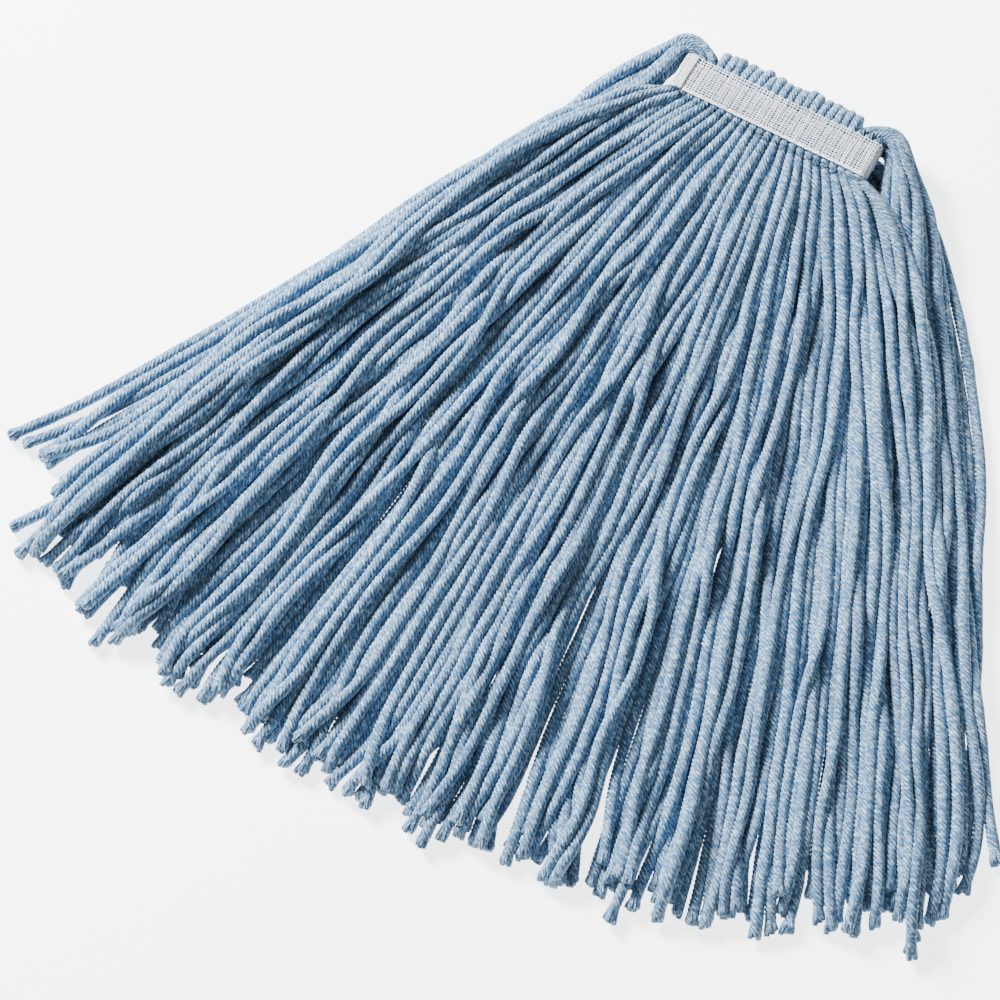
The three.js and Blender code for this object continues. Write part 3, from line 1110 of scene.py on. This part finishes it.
@dataclass
class YarnMaker:
    """Turns laid yarns into meshes: twisted plies, and a frayed brush at each cut end."""

    bundle: YarnBundle
    material: bpy.types.Material
    plies: int = 7
    ply_depth: float = 0.105
    turn_length: float = 19 * MM
    brush: float = 9 * MM
    brush_plies: int = 5

    def __post_init__(self) -> None:
        """Draws each yarn's own shade and twist."""
        draw = np.random.default_rng(5)
        count = len(self.bundle.yarns)
        numbers = [yarn.number for yarn in self.bundle.yarns]
        self.shades = dict(zip(numbers, draw.uniform(0, 1, count)))
        self.starts = dict(zip(numbers, draw.uniform(0, 6.28, count)))
        self.draw = draw

    def side_of(self, yarn: Yarn, line: np.ndarray) -> np.ndarray:
        """Directions across a yarn that never run along it.

        Args:
            yarn: The yarn.
            line: Its line.

        Returns:
            A direction at each point.
        """
        if yarn.way is Way.UNDER:
            return np.broadcast_to(np.array([1.0, 0.0, 0.0]), line.shape)
        return np.cross(np.gradient(line, axis=0), UP)

    def stretch(self, heap: MeshHeap, yarn: Yarn, low: float, high: float) -> np.ndarray:
        """Adds the length of a yarn between two distances from its front tip.

        Args:
            heap: What the mesh is gathered in.
            yarn: The yarn.
            low: Where the stretch starts.
            high: Where it ends.

        Returns:
            The stretch's centreline.
        """
        along = arc_length(yarn.line)
        keep = (along >= low - 1.2 * MM) & (along <= high + 1.2 * MM)
        whole_start, whole_end = along[keep][0] < MM, along[keep][-1] > along[-1] - MM
        sides = 2 * self.plies
        around = TURN * np.arange(sides) / sides
        twist = self.starts[yarn.number] - TURN * along / self.turn_length
        lobes = 1 + self.ply_depth * np.cos(self.plies * around)
        noise = np.random.default_rng(yarn.number).normal(0, 1, (len(along), 1))
        uneven = 0.96 + 0.14 * self.shades[yarn.number] + 0.08 * softened(noise, 6)
        taper = ease(along, 0, 3 * MM) * ease(along[-1] - along, 0, 3 * MM)
        taper = mix(0.7, 1.0, taper)
        rings = tube_rings(
            yarn.line,
            self.side_of(yarn, yarn.line),
            yarn.half_width * taper,
            yarn.half_height * taper,
            around[None, :] + twist[:, None],
            lobes * uneven,
        )[keep]
        line = yarn.line[keep]
        turns = along[keep] / self.turn_length + 10 * self.shades[yarn.number]
        heap.add_tube(rings, turns, self.shades[yarn.number], (line[0], line[-1]))
        for at_end, is_tip in ((False, whole_start), (True, whole_end)):
            if is_tip:
                self.frayed_tip(heap, yarn, at_end)
        return line

    def frayed_tip(self, heap: MeshHeap, yarn: Yarn, at_end: bool) -> None:
        """Adds the plies that splay at a cut end.

        Args:
            heap: What the mesh is gathered in.
            yarn: The yarn.
            at_end: Whether this is the rear tip.
        """
        line = yarn.line if at_end else yarn.line[::-1]
        count = int(self.brush / self.bundle.mesh_step) + 2
        tip = line[-count:]
        way = tip[-1] - tip[0]
        way /= np.linalg.norm(way)
        across = np.cross(way, UP)
        across /= np.linalg.norm(across)
        up = np.cross(across, way)
        share = np.linspace(0, 1, 6)
        around = TURN * np.arange(6) / 6
        radius = np.array([1.15, 1.4, 1.6, 1.75, 1.85, 1.45]) * MM
        offset = self.draw.uniform(0, TURN)
        for ply in range(self.brush_plies):
            angle = offset + TURN * ply / self.brush_plies + self.draw.normal(0, 0.25)
            angles = angle + share * self.draw.uniform(0.3, 1.2)
            spread = mix(1.2 * MM, self.draw.uniform(2.0, 3.3) * MM, share ** 1.5)
            longer = self.draw.uniform(-2.5, 1.6) * MM
            base = np.stack([np.interp(share, np.linspace(0, 1, count), c) for c in tip.T], axis=1)
            base = base + (share ** 2)[:, None] * longer * way
            sideways = (np.cos(angles) * spread)[:, None] * across
            centre = base + sideways + (np.sin(angles) * spread)[:, None] * up
            centre[:, 2] = np.maximum(centre[:, 2], 2.0 * MM)
            rings = tube_rings(centre, np.broadcast_to(across, centre.shape), radius, radius,
                               around[None, :], np.ones((6, 6)))
            turns = share * 0.5 + 10 * self.shades[yarn.number] + ply
            cap = centre[-1] + 0.3 * MM * way
            heap.add_tube(rings, turns, self.shades[yarn.number], (centre[0], cap))


# ---- camera, light and floor ---------------------------------------------------------------------


@dataclass(frozen=True)
class Studio:
    """A pale floor, soft light, and a camera high over the fringe, a little to one side."""

    azimuth: float = 28.6
    elevation: float = 68.0
    distance: float = 2.2
    target: tuple[float, float, float] = (-0.030, -0.2635, 0.0)
    lens: float = 141.5
    floor_glow: float = 3.2
    world_glow: float = 0.36

    def camera(self) -> bpy.types.Object:
        """Makes the scene's camera.

        Returns:
            The camera.
        """
        data = bpy.data.cameras.new("camera")
        data.lens = self.lens
        data.sensor_width = 36.0
        data.clip_start, data.clip_end = 0.1, 20.0
        camera = bpy.data.objects.new("camera", data)
        bpy.context.scene.collection.objects.link(camera)
        a, e = math.radians(self.azimuth), math.radians(self.elevation)
        back = Vector((math.sin(a) * math.cos(e), -math.cos(a) * math.cos(e), math.sin(e)))
        camera.location = Vector(self.target) + back * self.distance
        camera.rotation_euler = (-back).to_track_quat("-Z", "Y").to_euler()
        bpy.context.scene.camera = camera
        return camera

    def floor(self) -> bpy.types.Object:
        """Lays a wide pale floor just below the mop.

        Returns:
            The floor.
        """
        bpy.ops.object.select_all(action="DESELECT")
        bpy.ops.mesh.primitive_plane_add(size=12.0, location=(0.0, 0.0, -0.0005))
        floor = bpy.context.object
        floor.name = "floor"
        sketch = NodeSketch("pale_floor")
        sketch.shader.inputs["Base Color"].default_value = (0.93, 0.93, 0.93, 1.0)
        sketch.shader.inputs["Roughness"].default_value = 0.9
        sketch.shader.inputs["Emission Color"].default_value = (1.0, 1.0, 1.0, 1.0)
        sketch.shader.inputs["Emission Strength"].default_value = self.floor_glow
        floor.data.materials.append(sketch.material)
        return floor

    def light(self, name: str, place: tuple[float, float, float], size: float, power: float) -> None:
        """Adds a square soft light that faces the middle of the mop.

        Args:
            name: The lamp's name.
            place: Where it stands.
            size: Length of its sides.
            power: Its power in watts.
        """
        data = bpy.data.lights.new(name, "AREA")
        data.size = size
        data.energy = power
        lamp = bpy.data.objects.new(name, data)
        bpy.context.scene.collection.objects.link(lamp)
        lamp.location = place
        towards = Vector(self.target) - Vector(place)
        lamp.rotation_euler = towards.to_track_quat("-Z", "Y").to_euler()

    def build(self) -> None:
        """Makes the camera, the floor, the lights and the pale surroundings."""
        self.camera()
        self.floor()
        self.light("key", (-1.90, 0.35, 1.35), 0.8, 330.0)
        self.light("fill", (1.8, -1.6, 2.2), 2.5, 9.0)
        world = bpy.data.worlds.new("surroundings")
        bpy.context.scene.world = world
        world.use_nodes = True
        background = world.node_tree.nodes["Background"]
        background.inputs["Color"].default_value = (1.0, 1.0, 1.0, 1.0)
        background.inputs["Strength"].default_value = self.world_glow


# ---- the mop --------------------------------------------------------------------------------------


@dataclass
class MopYarns:
    """The shown yarn pieces: free tails as cords and bundles, and the sewn middles."""

    bundle: YarnBundle
    maker: YarnMaker
    corner_cords: int = 8
    hidden: float = 3 * MM

    def column(self, yarn: Yarn) -> int:
        """The number of the frame's column that a yarn belongs to.

        Args:
            yarn: The yarn.

        Returns:
            The number, from 1 at the left.
        """
        band = self.bundle.band
        column = int(math.floor((yarn.x + band.half_length) / band.pitch - 1e-6)) + 1
        return min(max(column, 1), band.columns)

    def piece(self, name: str, yarns: list[Yarn],
              reach: Reach) -> tuple[bpy.types.Object, np.ndarray]:
        """Makes one object of the same stretch of several yarns.

        Args:
            name: The object's name.
            yarns: The yarns in it.
            reach: Which stretch of them.

        Returns:
            The object, and the last yarn's centreline.
        """
        heap = MeshHeap()
        for yarn in yarns:
            total = arc_length(yarn.line)[-1]
            rear = yarn.front_end + self.bundle.band.depth
            if yarn.way is Way.UNDER:
                rear = yarn.rear_start
            spans = {
                Reach.FRONT: (0.0, yarn.front_end - self.hidden),
                Reach.SEWN: (yarn.front_end - 2 * self.hidden, rear + self.hidden),
                Reach.REAR: (rear, total),
            }
            line = self.maker.stretch(heap, yarn, *spans[reach])
        piece = heap.build(name, self.maker.material)
        return piece, line

    def bend(self, piece: bpy.types.Object, yarns: list[Yarn], reach: Reach) -> None:
        """Hides the frame's column nodes that a piece stands in for, and bakes its placement into its
        mesh.

        Args:
            piece: The piece.
            yarns: The yarns in it.
            reach: Which stretch of them it is.
        """
        columns = sorted({self.column(yarn) for yarn in yarns})
        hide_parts(*[f"{reach.value}_yarns_{column:02d}" for column in columns])
        if reach is Reach.FRONT:
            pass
        elif yarns[0].way is Way.UNDER:
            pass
        else:
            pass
        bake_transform(piece)

    def spot(self, yarn: Yarn, distance: float) -> np.ndarray:
        """The point at a distance along a yarn's line from its front tip."""
        along = arc_length(yarn.line)
        return np.array([np.interp(distance, along, column) for column in yarn.line.T])

    def tails(self, name: str, yarns: list[Yarn], reach: Reach) -> None:
        """Makes a piece of free tails, in place of the frame's nodes for their columns."""
        piece, _ = self.piece(name, yarns, reach)
        self.bend(piece, yarns, reach)

    def cord(self, yarn: Yarn, reach: Reach) -> None:
        """Makes one yarn's free tail a piece of its own.

        Args:
            yarn: The yarn.
            reach: Which of its two tails.
        """
        piece, line = self.piece(f"{reach.value}_yarn_{yarn.name}", [yarn], reach)
        if reach is Reach.FRONT:
            line = line[::-1]
        self.bend(piece, [yarn], reach)

    def front_tails(self) -> None:
        """Makes the front tails: the top row as cords, and a piece for each row below it."""
        yarns, rows = self.bundle.yarns, self.bundle.band.rows
        for row in range(rows - 1):
            group = [yarn for yarn in yarns if yarn.row == row]
            self.tails(f"front_yarns_row_{row + 1}", group, Reach.FRONT)
        for yarn in yarns:
            if yarn.row == rows - 1:
                self.cord(yarn, Reach.FRONT)
        log.info("front tails made")

    def under_tails(self, group: list[Yarn]) -> None:
        """Makes a piece for each row of the rear tails under the band.

        Args:
            group: Their yarns.
        """
        for row in range(self.bundle.band.rows):
            layer = [yarn for yarn in group if yarn.row == row]
            self.tails(f"rear_yarns_row_{row + 1}", layer, Reach.REAR)

    def corner_tails(self, group: list[Yarn], way: Way) -> None:
        """Makes one corner's rear tails: the highest ones as cords, and the others in pairs.

        Args:
            group: The yarns that pass round the corner.
            way: Which corner.
        """
        group.sort(key=lambda yarn: (-yarn.row, -abs(yarn.line[-1, 0])))
        for yarn in group[:self.corner_cords]:
            self.cord(yarn, Reach.REAR)
        rest = sorted(group[self.corner_cords:], key=lambda yarn: abs(yarn.x))
        for first in range(0, len(rest), 2):
            name = f"rear_yarns_{way.value}_{first // 2 + 1}"
            self.tails(name, rest[first:first + 2], Reach.REAR)

    def build(self) -> None:
        """Makes every yarn piece in place of the frame's yarn nodes, and attaches the sewn middles to
        the headband.
        """
        self.front_tails()
        for way in Way:
            group = [yarn for yarn in self.bundle.yarns if yarn.way is way]
            if way is Way.UNDER:
                self.under_tails(group)
            else:
                self.corner_tails(group, way)
            sewn, _ = self.piece(f"sewn_yarns_{way.value}_part", group, Reach.SEWN)
            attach(sewn, "headband")
            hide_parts(*self.sewn_nodes(way))
            log.info("rear tails and sewn middles made: %s", way.value)

    def sewn_nodes(self, way: Way) -> list[str]:
        """The frame's nodes for the sewn middle of the yarns that go one way.

        Args:
            way: Where the yarns go.

        Returns:
            The nodes' names.
        """
        names = {
            Way.UNDER: [f"sewn_yarns_middle_{number}" for number in range(1, 5)],
            Way.LEFT_CORNER: ["sewn_yarns_left_end"],
            Way.RIGHT_CORNER: ["sewn_yarns_right_end"],
        }
        return names[way]


@dataclass
class HeadbandTape:
    """The open-mesh tape round the pack: real threads, woven over and under each other."""

    band: Band
    finish: bpy.types.Material
    thread_finish: bpy.types.Material
    off_pack: float = 0.75 * MM
    corner: float = 3.6 * MM
    thread_height: float = 0.17 * MM
    long_width: float = 0.32 * MM
    edge_width: float = 0.50 * MM
    long_pitch: float = 1.5 * MM
    cross_pitch: float = 2.0 * MM
    dense_pitch: float = 1.15 * MM
    loose_pitch: float = 1.85 * MM
    weave: float = 0.14 * MM
    seams: Pair = (2.2 * MM, 20 * MM)
    seam_pitch: float = 3.0 * MM
    end_fold: float = 4.8 * MM
    seed: int = 3

    def __post_init__(self) -> None:
        """Sets out the tape's way round the pack."""
        self.draw = np.random.default_rng(self.seed)
        half_x = self.band.half_length + self.off_pack
        half_z = self.band.thickness / 2 + self.off_pack
        corners = []
        for start, side_x, side_z in ((0, 1, 1), (90, -1, 1), (180, -1, -1), (270, 1, -1)):
            angle = np.radians(start + np.linspace(0, 90, 9))
            middle = np.array([side_x * (half_x - self.corner), side_z * (half_z - self.corner)])
            corners.append(middle + self.corner * np.stack([np.cos(angle), np.sin(angle)], axis=1))
        outline = np.concatenate(corners + [corners[0][:1]])
        self.along = arc_length(outline)
        self.outline = outline

    @property
    def round_length(self) -> float:
        """Length of the tape once round the pack."""
        return float(self.along[-1])

    def surface(self, u: Values, y: Values, out: Values) -> np.ndarray:
        """Points on the tape.

        Args:
            u: Distances round the pack.
            y: Places across the tape, from its front edge.
            out: How far outside the tape's middle layer.

        Returns:
            The points, as the band leans.
        """
        u = np.mod(u, self.round_length)
        x = np.interp(u, self.along, self.outline[:, 0])
        z = np.interp(u, self.along, self.outline[:, 1])
        inner = self.band.half_length + self.off_pack - self.corner
        tall = self.band.thickness / 2 + self.off_pack - self.corner
        normal = np.stack([x - np.clip(x, -inner, inner), z - np.clip(z, -tall, tall)], axis=-1)
        normal /= np.linalg.norm(normal, axis=-1, keepdims=True)
        flat = ease(inner - np.abs(x), 0, 8 * MM) * (np.abs(z) > tall)
        first, second = self.seams
        pillow = ease(y, first, first + 5 * MM) * ease(second - y, 0, 5 * MM)
        near = 1.1 * MM
        pinch = np.exp(-((y - second) / near) ** 2) + np.exp(-((y - first) / near) ** 2)
        ripple = 0.24 * MM * np.cos(TURN * (x / self.band.pitch - 0.5)) * (1 - 0.5 * pinch)
        lift = flat * (0.65 * MM * pillow - 0.45 * MM * pinch + ripple)
        out = out + np.where(z > 0, lift, 0.3 * lift)
        x = x + normal[..., 0] * out
        z = z + normal[..., 1] * out
        lean = self.band.middle + (self.band.depth - y) * math.tan(self.band.tilt)
        return np.stack([x, y + 0 * x, z + lean], axis=-1)

    def thread(self, heap: MeshHeap, line: np.ndarray, side: np.ndarray, width: float,
               height: float) -> None:
        """Adds one flattened thread along a line.

        Args:
            heap: What the mesh is gathered in.
            line: Its centreline.
            side: The direction in which it is wide, at each point.
            width: Half of its width.
            height: Half of its height.
        """
        count = len(line)
        around = TURN * np.arange(6) / 6
        uneven = 1 + 0.10 * self.draw.normal(0, 1, (count, 1))
        widths, heights = np.full(count, width), np.full(count, height)
        rings = tube_rings(line, side, widths, heights, around[None, :], uneven * np.ones((1, 6)))
        heap.add_tube(rings, np.linspace(0, 1, count), 0.5, (line[0], line[-1]))

    def cross_places(self) -> np.ndarray:
        """Spaces the cross threads round the pack, closer together towards its two ends.

        Returns:
            Their distances round the pack.
        """
        end = self.band.half_length
        places = []
        u = 0.0
        while u < self.round_length - self.dense_pitch:
            x = float(np.interp(u, self.along, self.outline[:, 0]))
            dense = float(ease(abs(x), end - 7 * MM, end - 2 * MM))
            places.append(u)
            spacing = mix(self.cross_pitch, self.dense_pitch, dense)
            spacing *= 1 + 0.13 * math.sin(u / (4 * MM))
            u += spacing * float(self.draw.uniform(0.92, 1.08))
        return np.array(places)

    def long_places(self) -> np.ndarray:
        """Spaces the lengthwise threads across the tape, with a doubled edge at the front.

        Returns:
            Their distances from the front edge.
        """
        edge = 0.55 * MM
        plain = np.arange(2.4 * MM, self.seams[1] + 1.2 * MM, self.long_pitch)
        loose = np.arange(plain[-1] + self.loose_pitch, self.band.depth, self.loose_pitch)
        return np.concatenate([[edge, edge + 0.85 * MM], plain, loose])

    def mesh(self) -> bpy.types.Object:
        """Weaves the tape.

        Returns:
            The tape, parented to the headband's empty.
        """
        heap = MeshHeap()
        cross, rows = self.cross_places(), self.long_places()
        whole = self.round_length
        knots = np.sort(np.concatenate([cross, (cross + np.roll(cross, -1)) / 2]))[:-1]
        knots = np.concatenate([knots, [whole, whole + knots[1]]])
        phase = np.interp(knots, np.concatenate([cross, [whole]]), np.arange(len(cross) + 1))
        for number, y in enumerate(rows):
            drift = 0.12 * MM * np.sin(TURN * knots / (37 * MM) + self.draw.uniform(0, 6))
            over = self.weave * np.cos(math.pi * (phase + number))
            line = self.surface(knots, y + drift, over)
            side = np.broadcast_to(np.array([0.0, 1.0, 0.0]), line.shape)
            width = self.long_width if number > 1 else self.edge_width
            self.thread(heap, line, side, width, self.thread_height)
        for number, u in enumerate(cross):
            cut = self.band.depth + self.draw.uniform(-0.9, 0.5) * MM
            y = np.linspace(0.15 * MM, cut, 2 * len(rows) + 1)
            place = np.interp(y, rows, np.arange(len(rows)))
            lean = self.draw.normal(0, 0.26) * MM
            sway = lean * np.sin(math.pi * y / self.band.depth + self.draw.uniform(0, 3))
            over = -self.weave * np.cos(math.pi * (place + number))
            line = self.surface(u + sway, y, over)
            side = self.surface(u + sway + 0.3 * MM, y, over) - line
            self.thread(heap, line, side, self.draw.uniform(0.23, 0.38) * MM, self.thread_height)
        piece = heap.build("headband_mesh_tape", self.finish)
        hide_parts("headband_tape")
        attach(piece, "headband")
        return piece

    def top(self, x: np.ndarray, y: np.ndarray, out: Values) -> np.ndarray:
        """Points on the tape's upper side, by their place along the band.

        Args:
            x: Places along the band.
            y: Places across the tape, from its front edge.
            out: How far above the tape's middle layer.

        Returns:
            The points.
        """
        upper = self.outline[:, 1] > self.band.thickness / 2 + self.off_pack - 1e-6
        corners = self.outline[upper]
        places = self.along[upper]
        order = np.argsort(corners[:, 0])
        return self.surface(np.interp(x, corners[order, 0], places[order]), y, out)

    def fold_strip(self) -> None:
        """Lays the turned-over end of the tape on its left end: a plate of cloth, dense with ribs."""
        start = -self.band.half_length + self.corner - 1.2 * MM
        middle = start + self.end_fold / 2
        size = (self.end_fold - 0.4 * MM, self.band.depth - 0.8 * MM, 0.5 * MM)
        plate = new_box("headband_end_fold_cloth", size, 0.15 * MM)
        edges = np.array([0.0, self.band.depth])
        seat = self.top(np.array([middle, middle]), edges, 0.75 * MM)
        place_box(plate, seat[0], seat[1])
        plate.data.materials.append(self.finish)
        heap = MeshHeap()
        for x in np.arange(start + 0.35 * MM, start + self.end_fold, 0.78 * MM):
            y = np.linspace(0.2 * MM, self.band.depth - 0.2 * MM, 25)
            ripple = 0.06 * MM * np.cos(math.pi * np.arange(25))
            line = self.top(np.full(25, x), y, 1.0 * MM + ripple)
            side = np.broadcast_to(np.array([1.0, 0.0, 0.0]), line.shape)
            self.thread(heap, line, side, 0.33 * MM, 0.30 * MM)
        ribs = heap.build("headband_end_fold_ribs", self.finish)
        for piece in (plate, ribs):
            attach(piece, "headband")
            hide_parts("headband_end_fold")

    def stitches(self) -> None:
        """Sews the tape: one stitch is modelled, and copied along both rows."""
        for name, y in zip(("seam_front", "seam_rear"), self.seams):
            first = new_stitch(self.seam_pitch * 0.86, 0.34 * MM)
            left = -self.band.half_length + self.corner + self.end_fold
            places = np.arange(left, self.band.half_length - 1 * MM, self.seam_pitch)
            copies = []
            for number, x in enumerate(places):
                copy = first.copy()
                copy.data = first.data.copy()
                bpy.context.scene.collection.objects.link(copy)
                spot = self.top(np.array([x]), np.array([y]), 0.42 * MM)[0]
                turn = float(self.draw.normal(0, 0.05)) + (0.10 if number % 2 else -0.10)
                copy.data.transform(Matrix.Translation(Vector(spot)) @ Matrix.Rotation(turn, 4, "Z"))
                copies.append(copy)
            bpy.data.objects.remove(first)
            bpy.ops.object.select_all(action="DESELECT")
            for copy in copies:
                copy.select_set(True)
            bpy.context.view_layer.objects.active = copies[0]
            bpy.ops.object.join()
            row = bpy.context.object
            row.name = f"{name}_stitches"
            row.data.materials.append(self.thread_finish)
            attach(row, "headband")
            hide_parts(name)

    def build(self) -> None:
        """Makes the tape, its turned-over end and its stitching."""
        self.mesh()
        self.fold_strip()
        self.stitches()
        log.info("tape made, %.0f mm round", self.round_length / MM)


def new_box(name: str, size: tuple[float, float, float], bevel: float) -> bpy.types.Object:
    """Models a thin box with rounded edges at the origin.

    Args:
        name: The object's name.
        size: Its three sizes.
        bevel: Width of the rounding.

    Returns:
        The box.
    """
    bpy.ops.object.select_all(action="DESELECT")
    bpy.ops.mesh.primitive_cube_add(size=1.0, location=(0.0, 0.0, 0.0))
    box = bpy.context.object
    box.name = name
    bpy.ops.object.mode_set(mode="EDIT")
    bpy.ops.mesh.select_all(action="SELECT")
    bpy.ops.transform.resize(value=size)
    bpy.ops.mesh.bevel(offset=bevel, segments=2, affect="EDGES")
    bpy.ops.mesh.select_all(action="SELECT")
    bpy.ops.mesh.subdivide(number_cuts=1)
    bpy.ops.object.mode_set(mode="OBJECT")
    bpy.ops.object.shade_smooth_by_angle(angle=math.radians(40))
    return box


def place_box(box: bpy.types.Object, front: np.ndarray, rear: np.ndarray) -> None:
    """Moves a box's mesh so that it lies along a line.

    Args:
        box: The box.
        front: The line's front end.
        rear: Its rear end.
    """
    lean = math.atan2(rear[2] - front[2], rear[1] - front[1])
    middle = Vector((front + rear) / 2)
    box.data.transform(Matrix.Translation(middle) @ Matrix.Rotation(lean, 4, "X"))


def new_stitch(length: float, radius: float) -> bpy.types.Object:
    """Models one stitch at the origin: a short thread that dips into the cloth at both of its ends.

    Args:
        length: Its length.
        radius: Radius of the thread.

    Returns:
        The stitch.
    """
    bpy.ops.object.select_all(action="DESELECT")
    origin = (0.0, 0.0, 0.0)
    bpy.ops.mesh.primitive_uv_sphere_add(segments=10, ring_count=8, radius=1.0, location=origin)
    stitch = bpy.context.object
    bpy.ops.object.mode_set(mode="EDIT")
    bpy.ops.mesh.select_all(action="SELECT")
    bpy.ops.transform.rotate(value=math.pi / 2, orient_axis="Y", center_override=origin)
    bpy.ops.transform.resize(value=(length / 2, radius * 1.15, radius))
    bpy.ops.object.mode_set(mode="OBJECT")
    bpy.ops.object.shade_smooth()
    return stitch


def main() -> None:
    """Builds the mop head and its studio."""
    logging.basicConfig(level=logging.INFO, format="%(name)s: %(message)s")
    Studio().build()
    tape_low, tape_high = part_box("headband_tape")
    wall = 1.2 * MM
    band = Band(half_length=(tape_high.x - tape_low.x) / 2 - wall)
    bundle = YarnBundle(band)
    bundle.lay_all()
    log.info("laid %d yarns", len(bundle.yarns))
    finish = HeatherYarn().material()
    MopYarns(bundle, YarnMaker(bundle, finish)).build()
    tape_finish = TapeCotton("tape_cotton").material()
    thread_finish = TapeCotton("sewing_thread").material()
    HeadbandTape(band, tape_finish, thread_finish).build()


if __name__ == "__main__":
    main()
